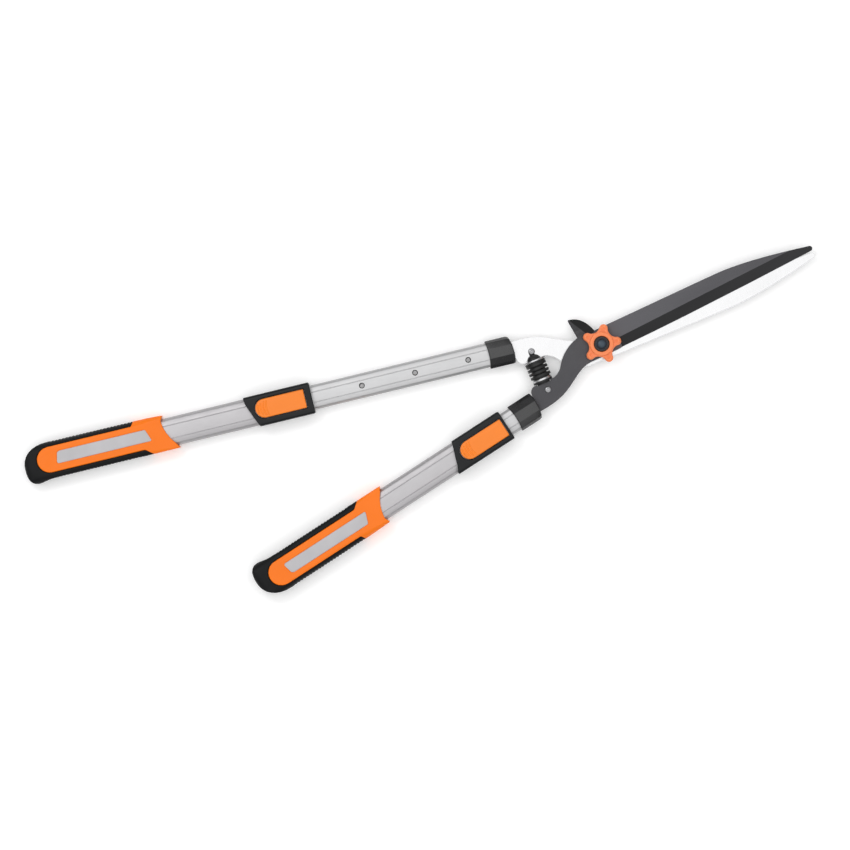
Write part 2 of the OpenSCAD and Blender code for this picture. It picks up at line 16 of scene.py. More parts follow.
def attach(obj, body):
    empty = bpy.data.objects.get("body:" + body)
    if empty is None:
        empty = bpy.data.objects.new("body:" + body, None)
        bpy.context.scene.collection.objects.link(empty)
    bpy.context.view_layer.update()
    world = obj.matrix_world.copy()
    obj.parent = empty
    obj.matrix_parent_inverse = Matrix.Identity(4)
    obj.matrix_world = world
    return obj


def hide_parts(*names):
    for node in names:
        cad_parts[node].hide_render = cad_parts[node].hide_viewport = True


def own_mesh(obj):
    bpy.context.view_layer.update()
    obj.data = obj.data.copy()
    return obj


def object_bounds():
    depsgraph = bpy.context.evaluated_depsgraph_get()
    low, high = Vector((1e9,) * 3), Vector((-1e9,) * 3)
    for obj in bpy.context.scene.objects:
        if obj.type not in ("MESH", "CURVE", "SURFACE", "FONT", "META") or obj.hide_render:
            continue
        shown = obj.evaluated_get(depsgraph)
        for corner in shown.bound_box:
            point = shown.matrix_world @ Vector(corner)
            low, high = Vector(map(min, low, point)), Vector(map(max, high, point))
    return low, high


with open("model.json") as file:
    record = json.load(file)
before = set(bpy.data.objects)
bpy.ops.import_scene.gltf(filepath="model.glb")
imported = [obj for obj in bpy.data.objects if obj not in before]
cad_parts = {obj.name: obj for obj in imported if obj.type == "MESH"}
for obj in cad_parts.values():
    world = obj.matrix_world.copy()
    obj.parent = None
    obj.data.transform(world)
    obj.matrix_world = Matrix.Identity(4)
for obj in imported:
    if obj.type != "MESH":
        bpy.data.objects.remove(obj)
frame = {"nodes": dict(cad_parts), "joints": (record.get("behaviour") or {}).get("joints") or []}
cad_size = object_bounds()
nodes = frame["nodes"]
joints = {j["name"]: j for j in frame["joints"]}
MM = 0.001
SIDES = ("front", "rear")
ROW = Matrix.Scale(MM, 4)

# Radii of the holes for the pivot bolt and the buffer's stem
BOLT_HOLE_R = 5.06
BUFFER_STEM_R = 4.1

# Half the width, half the depth and half the width of the flat band
INNER_TUBE = (16.1, 8.3, 6.8)
OUTER_TUBE = (19.0, 11.0, 8.7)
TUBE_WALL = 1.5


# ---- places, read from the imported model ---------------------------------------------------


def cad_points(node):
    """Vertices of a CAD node in metres"""
    mesh = nodes[node].data
    flat = np.empty(len(mesh.vertices) * 3)
    mesh.vertices.foreach_get("co", flat)
    return flat.reshape(-1, 3)


def span(node, place=ROW):
    """Lowest and highest corner of a CAD node in millimetres, in a local frame"""
    inv = np.array(place.inverted())
    local = cad_points(node) @ inv[:3, :3].T + inv[:3, 3]
    return local.min(0), local.max(0)


def hand_frame(side):
    """Handle frame: X away from the pivot, Y outwards from the other handle, Z up"""
    along = Vector(joints[side + "_telescope"]["axis"]).normalized()
    turn = 1 if side == "front" else -1
    out = Vector((-along.y, along.x, 0)) * turn
    turned = Matrix((along, out, Vector((0, 0, 1)))).transposed().to_4x4() @ ROW
    low, high = span(side + "_inner_tube", turned)
    middle = (low + high) / 2
    return turned @ Matrix.Translation((0, middle[1], middle[2]))


HAND = {side: hand_frame(side) for side in SIDES}


# ---- outlines -----------------------------------------------------------------------------


def rounded(points, radii, steps):
    """Closed outline with every corner turned on a radius of its own"""
    points = [np.array(p, float) for p in points]
    out = []
    for i, p in enumerate(points):
        a, b = points[i - 1] - p, points[(i + 1) % len(points)] - p
        la, lb = np.linalg.norm(a), np.linalg.norm(b)
        angle = math.acos(np.clip(a @ b / (la * lb), -1, 1))
        if radii[i] <= 0 or angle > math.pi - 0.02:
            out.append(p)
            continue
        cut = min(radii[i] / math.tan(angle / 2), 0.48 * la, 0.48 * lb)
        start, end = p + a / la * cut, p + b / lb * cut
        for t in np.linspace(0, 1, steps + 1):
            out.append((1 - t) ** 2 * start + 2 * t * (1 - t) * p + t * t * end)
    return np.array(out)


def arc(centre, radius, start, end, steps):
    """Points on an arc, angles in degrees"""
    angles = np.radians(np.linspace(start, end, steps + 1))
    return [(centre[0] + radius * math.cos(a), centre[1] + radius * math.sin(a)) for a in angles]


def unit(rows):
    return rows / np.maximum(np.linalg.norm(rows, axis=1), 1e-9)[:, None]


def inset(loop, by):
    """Outline moved inwards; it runs anticlockwise, and by may differ from point to point"""
    ahead = unit(np.roll(loop, -1, 0) - loop)
    behind = unit(loop - np.roll(loop, 1, 0))
    tangent = unit(ahead + behind)
    stretch = np.maximum((tangent * ahead).sum(1), 0.5)
    normal = np.stack([-tangent[:, 1], tangent[:, 0]], 1)
    return loop + normal * (np.asarray(by) / stretch)[..., None]


def anticlockwise(loop):
    x, y = loop[:, 0], loop[:, 1]
    area = (x * np.roll(y, -1) - np.roll(x, -1) * y).sum()
    return loop if area > 0 else loop[::-1]


# ---- shapes -------------------------------------------------------------------------------


class Shape:
    """Rings of vertices joined by walls and caps"""

    def __init__(self):
        self.points, self.faces = [], []

    def ring(self, points):
        start = len(self.points)
        self.points += [tuple(float(c) for c in p) for p in points]
        return list(range(start, len(self.points)))

    def flat_ring(self, loop, height):
        heights = np.broadcast_to(height, len(loop))
        return self.ring([(p[0], p[1], h) for p, h in zip(loop, heights)])

    def face(self, corners):
        self.faces.append(tuple(corners))

    def wall(self, a, b):
        for i in range(len(a)):
            j = (i + 1) % len(a)
            self.face((a[i], a[j], b[j], b[i]))

    def cap(self, ring):
        self.face(ring)

    def walls(self, rings, loop=False):
        """Walls between neighbouring rings, and from the last to the first if it is a loop"""
        pairs = zip(rings, rings[1:] + rings[:1]) if loop else zip(rings, rings[1:])
        for a, b in pairs:
            self.wall(a, b)

    def mesh(self, name):
        mesh = bpy.data.meshes.new(name)
        mesh.from_pydata(self.points, [], self.faces)
        return mesh


def turned(profile, steps=72, hole=True):
    """Solid of revolution about Z from a closed (radius, height) outline; without a hole, the
    outline's points on the axis become single vertices"""
    shape = Shape()
    rings = []
    for r, h in profile:
        if not hole and r < 1e-6:
            rings.append(shape.ring([(0, 0, h)])[0])
            continue
        angles = np.linspace(0, 2 * math.pi, steps, endpoint=False)
        rings.append(shape.ring([(r * math.cos(a), r * math.sin(a), h) for a in angles]))
    for a, b in zip(rings, rings[1:] + rings[:1]):
        if isinstance(a, int) and isinstance(b, int):
            continue
        if isinstance(a, int) or isinstance(b, int):
            tip, ring = (a, b) if isinstance(a, int) else (b, a)
            for i in range(steps):
                shape.face((tip, ring[i], ring[(i + 1) % steps]))
            continue
        shape.wall(a, b)
    return shape


def edge_rings(shape, loop, height, radius, up, steps=4):
    """Rings round an edge of an upright wall, from the wall to the flat face; up is 1 for a top
    edge and -1 for a bottom edge"""
    rings = []
    for t in np.linspace(0, math.pi / 2, steps + 1):
        by = np.asarray(radius) * (1 - math.cos(t))
        drop = np.asarray(radius) * (1 - math.sin(t))
        rings.append(shape.flat_ring(inset(loop, by), height - up * drop))
    return rings


def crown(shape, ring, a, b, height, steps):
    """Closes a ring towards the line from a to b, down to a hair's breadth; height gives the
    surface's level"""
    a, b = np.array(a, float), np.array(b, float)
    start = np.array([shape.points[i] for i in ring])
    flat = start[:, :2]
    t = np.clip(((flat - a) @ (b - a)) / ((b - a) @ (b - a)), 0.001, 0.999)
    middle = a + t[:, None] * (b - a)
    previous = ring
    for k in range(1, steps + 1):
        share = k / steps
        at = flat + (middle - flat) * share * (0.999 if k == steps else 1)
        levels = [height(x, y) for x, y in at]
        now = shape.ring([(x, y, z) for (x, y), z in zip(at, levels)])
        shape.wall(previous, now)
        previous = now


def link(name, mesh):
    obj = bpy.data.objects.new(name, mesh)
    bpy.context.scene.collection.objects.link(obj)
    return obj


def tidy(mesh, merge=1e-7):
    """Joins vertices that coincide and turns all faces outwards"""
    bm = bmesh.new()
    bm.from_mesh(mesh)
    bmesh.ops.remove_doubles(bm, verts=bm.verts, dist=merge)
    bmesh.ops.recalc_face_normals(bm, faces=bm.faces)
    bm.to_mesh(mesh)
    bm.free()


def evaluated(obj):
    """The object's mesh with its modifiers applied; the object goes"""
    bpy.context.view_layer.update()
    graph = bpy.context.evaluated_depsgraph_get()
    mesh = bpy.data.meshes.new_from_object(obj.evaluated_get(graph))
    bpy.data.objects.remove(obj)
    return mesh


def outline_flats(mesh, area):
    """Marks the edges round faces above this area (m2) sharp, so that they shade flat"""
    bm = bmesh.new()
    bm.from_mesh(mesh)
    for face in bm.faces:
        if face.calc_area() > area:
            for edge in face.edges:
                if edge.calc_face_angle(0) > math.radians(1):
                    edge.smooth = False
    bm.to_mesh(mesh)
    bm.free()


def piece(name, made, place, body, finishes, stands_for, sharp=38, flats=None):
    """A finished piece of the model from a shape or a mesh in millimetres. Edges above the angle
    sharp shade sharp, and so do those of faces with more area than flats"""
    mesh = made.mesh(name) if isinstance(made, Shape) else made
    mesh.transform(place)
    tidy(mesh)
    mesh.name = name
    for finish in finishes:
        mesh.materials.append(finish)
    mesh.polygons.foreach_set("use_smooth", [True] * len(mesh.polygons))
    mesh.set_sharp_from_angle(angle=math.radians(sharp))
    if flats:
        outline_flats(mesh, flats)
    obj = link(name, mesh)
    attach(obj, body)
    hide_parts(*stands_for)
    return obj


def carve(mesh, cutters):
    """The mesh less closed cutter meshes"""
    obj = link("blank", mesh)
    tools = []
    for i, cutter in enumerate(cutters):
        tidy(cutter)
        tool = link(f"cutter_{i}", cutter)
        tools.append(tool)
        cut = obj.modifiers.new(f"cut_{i}", "BOOLEAN")
        cut.operation, cut.solver, cut.object = "DIFFERENCE", "EXACT", tool
    result = evaluated(obj)
    for tool in tools:
        bpy.data.objects.remove(tool)
    return result


def softened(node, place, voxel, rounds, shrink=0.0):
    """A moulded copy of a CAD part, its edges rounded over, in the local frame"""
    mesh = nodes[node].data.copy()
    mesh.materials.clear()
    mesh.transform(place.inverted())
    tidy(mesh, merge=1e-3)
    obj = link("blank", mesh)
    grid = obj.modifiers.new("grid", "REMESH")
    grid.mode, grid.voxel_size = "VOXEL", voxel
    soft = obj.modifiers.new("soft", "SMOOTH")
    soft.factor, soft.iterations = 0.5, rounds
    if shrink:
        seam = obj.modifiers.new("seam", "DISPLACE")
        seam.mid_level, seam.strength = 0.0, -shrink
    return evaluated(obj)


# ---- finishes -----------------------------------------------------------------------------


class Nodes:
    """A material under construction"""

    def __init__(self, name):
        self.material = bpy.data.materials.new(name)
        self.material.use_nodes = True
        self.tree = self.material.node_tree
        self.shader = self.tree.nodes["Principled BSDF"]
        self.place = self.add("ShaderNodeTexCoord").outputs["Object"]

    def add(self, kind, **values):
        made = self.tree.nodes.new(kind)
        for key, value in values.items():
            setattr(made, key, value)
        return made

    def join(self, out, into):
        self.tree.links.new(out, into)

    def noise(self, scale, stretch=(1, 1, 1), turn=0.0, detail=4.0, roughness=0.55):
        """Noise stretched along a direction turned about Z; scale is per metre"""
        mapped = self.add("ShaderNodeMapping", vector_type="TEXTURE")
        mapped.inputs["Rotation"].default_value = (0, 0, turn)
        mapped.inputs["Scale"].default_value = stretch
        self.join(self.place, mapped.inputs["Vector"])
        grain = self.add("ShaderNodeTexNoise")
        grain.inputs["Scale"].default_value = scale
        grain.inputs["Detail"].default_value = detail
        grain.inputs["Roughness"].default_value = roughness
        self.join(mapped.outputs["Vector"], grain.inputs["Vector"])
        return grain.outputs["Fac"]

    def spread(self, value, low, high, start=0.3, end=0.7):
        remap = self.add("ShaderNodeMapRange")
        remap.inputs["From Min"].default_value = start
        remap.inputs["From Max"].default_value = end
        remap.inputs["To Min"].default_value = low
        remap.inputs["To Max"].default_value = high
        self.join(value, remap.inputs["Value"])
        return remap.outputs["Result"]

    def mix(self, share, a, b):
        blend = self.add("ShaderNodeMix", data_type="RGBA")
        for value, socket in ((a, blend.inputs["A"]), (b, blend.inputs["B"])):
            if isinstance(value, tuple):
                socket.default_value = (*value, 1)
            else:
                self.join(value, socket)
        self.join(share, blend.inputs["Factor"])
        return blend.outputs["Result"]

    def math(self, operation, a, b):
        node = self.add("ShaderNodeMath", operation=operation)
        for value, socket in ((a, node.inputs[0]), (b, node.inputs[1])):
            if isinstance(value, (int, float)):
                socket.default_value = value
            else:
                self.join(value, socket)
        return node.outputs[0]

    def relief(self, height, depth, onto=None):
        bump = self.add("ShaderNodeBump")
        bump.inputs["Distance"].default_value = depth * MM
        bump.inputs["Strength"].default_value = 1.0
        self.join(height, bump.inputs["Height"])
        if onto is not None:
            self.join(onto, bump.inputs["Normal"])
        return bump.outputs["Normal"]

    def set(self, **values):
        for key, value in values.items():
            self.shader.inputs[key.replace("_", " ")].default_value = value

    def worn_and_highlit(self, colour, lighter, start, end):
        """Colour turning lighter on the outer edges, partly from rubbing and partly as a painted
        highlight
        """
        point = self.add("ShaderNodeNewGeometry").outputs["Pointiness"]
        return self.mix(self.spread(point, 0, 1, start, end), colour, lighter)


def tint(colour, factor):
    return tuple(min(1.0, c * factor) for c in colour)


def moulded(name, colour, rough, grain=0.02, vary=0.07, wear_and_highlight=0.0, level=0.5):
    """Injection-moulded plastic: faint flow marks, spark-eroded grain, edges lightened partly by
    rubbing and partly as a painted highlight
    """
    m = Nodes(name)
    flow = m.noise(14, detail=2.0)
    shade = m.mix(m.spread(flow, 0, 1), tint(colour, 1 - vary), tint(colour, 1 + vary))
    # Lighter outer edges: partly rubbing, partly a painted highlight on the rims
    if wear_and_highlight:
        shade = m.worn_and_highlit(shade, tint(colour, 1 + wear_and_highlight), 0.51, 0.56)
    m.join(shade, m.shader.inputs["Base Color"])
    m.join(m.spread(m.noise(90), rough - 0.05, rough + 0.07), m.shader.inputs["Roughness"])
    m.join(m.relief(m.noise(2600, detail=2.0), grain), m.shader.inputs["Normal"])
    m.set(Specular_IOR_Level=level)
    return m.material


def metal(name, colour, rough, turn=0.0, stretch=(1, 1, 1), lines=0.006, dirt=0.12, sheen=1.0):
    """Metal with fine lines along one direction and uneven polish"""
    m = Nodes(name)
    cloud = m.spread(m.noise(22, detail=3.0), 0, 1)
    m.join(m.mix(cloud, tint(colour, 1 - dirt), colour), m.shader.inputs["Base Color"])
    streaks = m.noise(1500, stretch, turn, detail=3.0)
    m.join(m.spread(streaks, rough - 0.05, rough + 0.08), m.shader.inputs["Roughness"])
    m.join(m.relief(streaks, lines), m.shader.inputs["Normal"])
    m.set(Metallic=sheen)
    return m.material


def coat(name, colour, rough, speckle, level, fade):
    """Sprayed non-stick coat: pebbled film with pale specks and faint scuffs along the blade. Painted
    light and shade change its tone by the factor fade from the pivot to the tip, and painted shade
    darkens it onto shank and horn"""
    tip_shade_span, shank_shade_span = (0.03, 0.28), (0.02, -0.03)
    horn_shade_back, horn_shade_out = (0.003, -0.006), (0.014, 0.024)
    m = Nodes(name)
    where = m.add("ShaderNodeSeparateXYZ")
    m.join(m.place, where.inputs["Vector"])
    x, y = where.outputs["X"], where.outputs["Y"]
    # Painted light and shade: the film's tone changes by the factor fade from the pivot to the tip,
    # and painted shade darkens it onto the shank
    film = m.mix(m.spread(x, 0, 1, *tip_shade_span), colour, tint(colour, fade))
    film = m.mix(m.spread(x, 0, 1, *shank_shade_span), film, tint(colour, 0.6))
    # Painted shade over the horn's outer side, standing in for its sloping face
    horn = m.math("MULTIPLY", m.spread(y, 0, 1, *horn_shade_out), m.spread(x, 0, 1, *horn_shade_back))
    film = m.mix(horn, film, tint(colour, 0.25))
    cloud = m.spread(m.noise(9, detail=3.0), 0, 0.22)
    shade = m.mix(cloud, film, tint(colour, 0.7))
    specks = m.spread(m.noise(1900, detail=1.0), 0, speckle, 0.62, 0.72)
    shade = m.mix(specks, shade, tint(colour, 2.2))
    scuffs = m.spread(m.noise(60, (9, 1, 1), detail=5.0), 0, 0.3, 0.6, 0.75)
    shade = m.mix(scuffs, shade, tint(colour, 1.35))
    m.join(shade, m.shader.inputs["Base Color"])
    m.join(m.spread(m.noise(45, (3, 1, 1)), rough - 0.06, rough + 0.1), m.shader.inputs["Roughness"])
    m.join(m.relief(m.noise(1200, detail=3.0), 0.012), m.shader.inputs["Normal"])
    m.set(Specular_IOR_Level=level)
    return m.material


def rubber(name, colour, rough, level, vary=0.2):
    """Matt rubber with a fine moulded grain"""
    m = Nodes(name)
    cloud = m.spread(m.noise(30, detail=3.0), 0, 1)
    m.join(m.mix(cloud, tint(colour, 1 - vary), tint(colour, 1 + vary)), m.shader.inputs["Base Color"])
    m.join(m.spread(m.noise(70), rough - 0.08, rough + 0.06), m.shader.inputs["Roughness"])
    m.join(m.relief(m.noise(1800, detail=3.0), 0.03), m.shader.inputs["Normal"])
    m.set(Specular_IOR_Level=level)
    return m.material


def drawn(name, colour, rough):
    """Anodised aluminium for either handle, its draw lines along the tube"""
    finishes = {}
    for side in SIDES:
        x, y, _ = joints[side + "_telescope"]["axis"]
        finishes[side] = metal(
            f"{name}_{side}",
            colour,
            rough,
            turn=math.atan2(-y, -x),
            stretch=(22, 1, 1),
            lines=0.008,
            dirt=0.05,
            sheen=0.7,
        )
    return finishes


# fade paints shading along the blade: darker towards the tip on the flat coat, lighter on the grind
coated = coat("coated_steel", (0.092, 0.09, 0.1), rough=0.42, speckle=0.35, level=0.3, fade=0.68)
coated_grind = coat(
    "coated_grind", (0.012, 0.012, 0.013), rough=0.34, speckle=0.2, level=0.2, fade=2.0
)
# Near-black finish for the funnel walls of the tubes' holes: painted shade at the holes' edges
hole_rim_shade = metal("hole_rim_shade", (0.012, 0.012, 0.013), rough=0.55, lines=0.004, dirt=0.2, sheen=0.3)
bright = metal(
    "ground_steel", (0.56, 0.56, 0.565), rough=0.26, stretch=(1, 14, 1), lines=0.002, dirt=0.04
)
bright_grind = metal(
    "edge_steel", (0.56, 0.57, 0.58), rough=0.3, turn=0.06, stretch=(1, 30, 1), lines=0.002, dirt=0.05
)
zinc = metal("zinc_plate", (0.45, 0.46, 0.45), rough=0.33, turn=0.4, stretch=(2, 1, 1), dirt=0.2)
polished = metal(
    "polished_steel", (0.5, 0.5, 0.51), rough=0.2, stretch=(1, 1, 6), lines=0.003, dirt=0.1
)
rivet_steel = metal("rivet_steel", (0.33, 0.33, 0.34), rough=0.28, dirt=0.15)
dark_steel = metal(
    "black_oxide", (0.045, 0.066, 0.088), rough=0.36, turn=0.3, lines=0.01, dirt=0.25, sheen=0.6
)
# Dark, warm finish for the cap nut's flange: painted shade of the knob's recess, with a painted
# reflection of the orange knob
shaded_flange_steel = metal(
    "flange_painted_shade_and_reflection", (0.035, 0.03, 0.028), rough=0.4, turn=0.3, lines=0.01, dirt=0.3, sheen=0.5
)
orange = moulded(
    "orange_moulding", (0.9, 0.18, 0.004), rough=0.42, grain=0.012, vary=0.03, wear_and_highlight=0.12, level=0.24
)
button_orange = moulded(
    "button_moulding", (0.9, 0.225, 0.018), rough=0.38, grain=0.01, vary=0.03, wear_and_highlight=0.1, level=0.3
)
knob_orange = moulded(
    "knob_moulding", (0.85, 0.217, 0.075), rough=0.36, grain=0.01, vary=0.03, wear_and_highlight=0.35, level=0.35
)
black = moulded("black_moulding", (0.006, 0.007, 0.008), rough=0.34, vary=0.12, wear_and_highlight=1.2, level=0.2)
ferrule = moulded(
    "ferrule_moulding", (0.007, 0.007, 0.008), rough=0.26, vary=0.1, wear_and_highlight=0.6, level=0.62
)
saddle_black = moulded(
    "saddle_moulding", (0.016, 0.016, 0.017), rough=0.35, grain=0.015, vary=0.1, wear_and_highlight=0.5, level=0.3
)
buffer_black = rubber("buffer_rubber_skin", (0.012, 0.012, 0.012), rough=0.4, level=0.3)
pad_grey = rubber("pad_rubber_skin", (0.485, 0.475, 0.49), rough=0.6, level=0.3, vary=0.05)
grip_skin = rubber("grip_rubber_skin", (0.007, 0.0075, 0.008), rough=0.5, level=0.12)
inner_alloy = drawn("anodised", (0.48, 0.48, 0.485), 0.42)
outer_alloy = drawn("anodised_outer", (0.42, 0.41, 0.42), 0.44)


def refinish(node, finish, bevel):
    """A better material, and rounded edges, for a CAD node that stays"""
    obj = nodes[node]
    obj.data.materials.clear()
    obj.data.materials.append(finish)
    soft = obj.modifiers.new("soft_edges", "BEVEL")
    soft.width, soft.segments, soft.limit_method = bevel * MM, 2, "ANGLE"
    soft.angle_limit = math.radians(35)
    soft.harden_normals = True


# ---- blades -------------------------------------------------------------------------------


def blade(side, face, ground):
    """Blade plate with eased edges; sloping faces get the ground finish"""
    node = side + "_blade"
    level_z, upright_z, ease = 0.995, 0.8, 0.22
    bm = bmesh.new()
    bm.from_mesh(nodes[node].data)
    bm.transform(ROW.inverted())
    bmesh.ops.remove_doubles(bm, verts=bm.verts, dist=1e-3)
    bmesh.ops.dissolve_limit(bm, angle_limit=math.radians(0.4), verts=bm.verts, edges=bm.edges)
    bm.normal_update()
    for f in bm.faces:
        f.material_index = int(upright_z < abs(f.normal.z) < level_z)
    sharp = [e for e in bm.edges if e.is_manifold and e.calc_face_angle(0) > math.radians(40)]
    bmesh.ops.bevel(
        bm, geom=sharp, offset=ease, segments=2, profile=0.6, affect="EDGES", clamp_overlap=True
    )
    mesh = bpy.data.meshes.new(node)
    bm.to_mesh(mesh)
    bm.free()
    piece(
        side + "_blade_plate",
        mesh,
        ROW,
        side + "_arm",
        (face, ground),
        (node,),
        sharp=24,
        flats=2e-5,
    )


blade("front", coated, coated_grind)
blade("rear", bright, bright_grind)


# ---- pivot --------------------------------------------------------------------------------


def hex_bolt():
    """Hex head, its lower corners turned off and its lower face dished, on a plain shaft"""
    corner, _, top = span("pivot_bolt")[1]
    head_h = span("head_washer")[0][2]
    shaft, chamfer = 5.0, 0.6
    circle = np.array(arc((0, 0), 1, 0, 360, 96)[:-1])
    angles = np.degrees(np.arctan2(circle[:, 1], circle[:, 0]))
    across_flats = corner * math.cos(math.pi / 6)
    hexagon = across_flats / np.cos(np.radians((angles % 60) - 30))
    shape = Shape()

    def hexagonal(reach, h):
        """Ring on the hexagon, with the corners cut back to a circle"""
        return shape.flat_ring(circle * np.minimum(hexagon, across_flats * reach)[:, None], h)

    turned_off = ((0.93, 0.0), (0.985, 0.35), (1.06, 1.1), (1.2, 2.0), (1.04, head_h - 0.15))
    rings = [hexagonal(reach, h) for reach, h in turned_off]
    rings.append(shape.flat_ring(circle * across_flats * 0.97, head_h))
    for r, h in ((shaft, head_h), (shaft, top - chamfer), (shaft - chamfer, top)):
        rings.append(shape.flat_ring(circle * r, h))
    dish = [shape.flat_ring(circle * across_flats * r, h) for r, h in ((0.55, 0.0), (0.5, 0.35))]
    shape.walls([rings[0]] + dish)
    shape.cap(dish[-1])
    shape.walls(rings)
    shape.cap(rings[-1])
    piece("pivot_bolt_hex", shape, ROW, "front_arm", (zinc,), ("pivot_bolt",))


def star_outline(reach, turn, count=720):
    """Five round arms between round hollows: directions, radii and angles off the nearest arm"""
    arm_r, hollow_r, hollow_at = 0.2124 * reach, 0.417 * reach, 1.054 * reach
    waist = 0.811 * reach
    arm_at = reach - arm_r
    angles = np.linspace(0, 2 * math.pi, count, endpoint=False)
    off = np.abs((np.degrees(angles) - turn + 36) % 72 - 36)
    arm, hollow = np.radians(off), np.radians(36 - off)
    radii = np.full(count, waist)
    inside = hollow_r**2 - (hollow_at * np.sin(hollow)) ** 2
    near = hollow_at * np.cos(hollow) - np.sqrt(np.maximum(inside, 0))
    radii = np.where(inside > 0, np.minimum(radii, near), radii)
    inside = arm_r**2 - (arm_at * np.sin(arm)) ** 2
    far = arm_at * np.cos(arm) + np.sqrt(np.maximum(inside, 0))
    radii = np.where(inside > 0, np.maximum(radii, far), radii)
    weights = np.exp(-((np.arange(-8, 9) / 3.5) ** 2))
    padded = np.concatenate([radii[-8:], radii, radii[:8]])
    radii = np.convolve(padded, weights / weights.sum(), "valid")
    radii *= reach / radii.max()
    return np.stack([np.cos(angles), np.sin(angles)], 1), radii, off


def star_knob():
    """Rounded star with a shallow dish in each arm, a hub ring and a recess for the nut"""
    points = cad_points("star_knob") / MM
    reach_all = np.hypot(points[:, 0], points[:, 1])
    reach = reach_all.max()
    tips = points[reach_all > 0.995 * reach]
    tip_angles = np.degrees(np.arctan2(tips[:, 1], tips[:, 0])) % 72
    turn = float(np.median(tip_angles))
    base, top = points[:, 2].min(), points[:, 2].max()
    arm_top = points[reach_all > 0.9 * reach, 2].max()
    hub, recess, recess_deep = 15.4, 10.3, 5.0
    root, edge_r, tip_r = 16.2, 0.45, 3.7
    dish_at, dish_deep, dish_long, dish_wide = 19.6, 1.1, 2.6, 2.8
    ray, radii, off = star_outline(reach, turn)
    loop = ray * radii[:, None]
    arm = np.clip((radii - root) / (reach - root), 0, 1) ** 0.7
    soft = edge_r + (tip_r - edge_r) * arm
    shape = Shape()
    rings = [shape.flat_ring(ray * BOLT_HOLE_R, base)]
    rings.append(shape.flat_ring(inset(loop, 0.6), base))
    rings.append(shape.flat_ring(inset(loop, 0.15), base + 0.25))
    rings.append(shape.flat_ring(loop, base + 0.8))
    rings.append(shape.flat_ring(loop, arm_top - tip_r + 0.1))
    rings += edge_rings(shape, loop, arm_top, soft, up=1, steps=7)
    brim = inset(loop, soft)
    foot = ray * (hub + 0.25)
    for t in np.linspace(0, 1, 10)[1:]:
        at = brim + (foot - brim) * t
        out = np.hypot(at[:, 0], at[:, 1])
        across = out * np.radians(off)
        hollow = ((out - dish_at) / dish_long) ** 2 + (across / dish_wide) ** 2
        dish = dish_deep * np.exp(-hollow)
        rings.append(shape.flat_ring(at, arm_top - dish))
    rise = top - arm_top
    for r, h in ((hub, 0.25), (hub - 0.2, rise - 1.0), (hub - 0.5, rise - 0.4), (hub - 1.1, rise)):
        rings.append(shape.flat_ring(ray * r, arm_top + h))
    for r, h in ((hub - 2.4, 0.0), (recess + 1.1, -0.1), (recess + 0.4, -0.35), (recess, -1.0)):
        rings.append(shape.flat_ring(ray * r, top + h))
    for r in (recess, BOLT_HOLE_R):
        rings.append(shape.flat_ring(ray * r, top - recess_deep))
    shape.walls(rings, loop=True)
    piece(
        "star_knob_moulding",
        shape,
        ROW,
        "knob",
        (knob_orange,),
        ("star_knob",),
        sharp=60,
    )


def cap_nut():
    """Flange with a groove round a domed body"""
    low, high = span("cap_nut")
    reach, base, top = high[0], low[2], high[2]
    body, spring, floor = 6.7, base + 2, base + 2.4
    profile = [
        (BOLT_HOLE_R, base),
        (reach - 0.3, base),
        (reach, base + 0.3),
        (reach, base + 1.0),
        (reach - 0.5, base + 1.4),
        (body + 0.9, base + 1.45),
        (body + 0.55, base + 1.1),
        (body + 0.1, base + 1.2),
    ]
    for a in np.linspace(0, 90, 13):
        c, s = math.cos(math.radians(a)), math.sin(math.radians(a))
        profile.append((body * c if a < 90 else 0.0, spring + (top - spring) * s))
    profile += [(0.0, floor), (BOLT_HOLE_R, floor)]
    shape = turned(profile, hole=False)
    # The flange, down in the knob's recess, takes painted shade and a painted orange reflection
    finishes = (dark_steel, shaded_flange_steel)
    nut = piece("cap_nut_dome", shape, ROW, "knob", finishes, ("cap_nut",), sharp=50)
    for face in nut.data.polygons:
        face.material_index = int(face.center.xy.length > (body + 0.4) * MM)


hex_bolt()
star_knob()
cap_nut()
for washer in ("head_washer", "blade_washer", "knob_washer"):
    refinish(washer, zinc, bevel=0.15)


# ---- buffer and stop ----------------------------------------------------------------------


def buffer_place():
    """Frame with Z along +Y on the buffer's axis, Z measured from the row frame's XZ plane"""
    low, high = span("buffer_rubber")
    middle = (low + high) / 2
    turn = Matrix.Rotation(math.radians(-90), 4, "X")
    return ROW @ Matrix.Translation((middle[0], 0, middle[2])) @ turn


def buffer_skin(place):
    """Rubber cylinder with a neck at its root and three grooves"""
    low, high = span("buffer_rubber")
    base, top, reach = low[1], high[1], (high[0] - low[0]) / 2
    groove, half = reach - 4.0, 0.65
    neck, neck_h = reach - 2.2, base + 2
    groove_shares = (0.302, 0.54, 0.781)
    points = [(BUFFER_STEM_R, base), (neck, base), (neck, neck_h), (reach, neck_h)]
    radii = [0, 0.2, 0.3, 1]
    for share in groove_shares:
        middle = base + share * (top - base)
        for r, h, ease in (
            (reach, middle - half, 1.0),
            (groove, middle - half, 0.4),
            (groove, middle + half, 0.4),
            (reach, middle + half, 1.0),
        ):
            points.append((r, h))
            radii.append(ease)
    points += [(reach, top), (BUFFER_STEM_R, top)]
    radii += [0.7, 0]
    skin = piece(
        "buffer_ribs",
        turned(rounded(points, radii, 4), 96),
        place,
        "front_arm",
        (buffer_black,),
        ("buffer_rubber",),
        sharp=50,
    )
    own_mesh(skin)


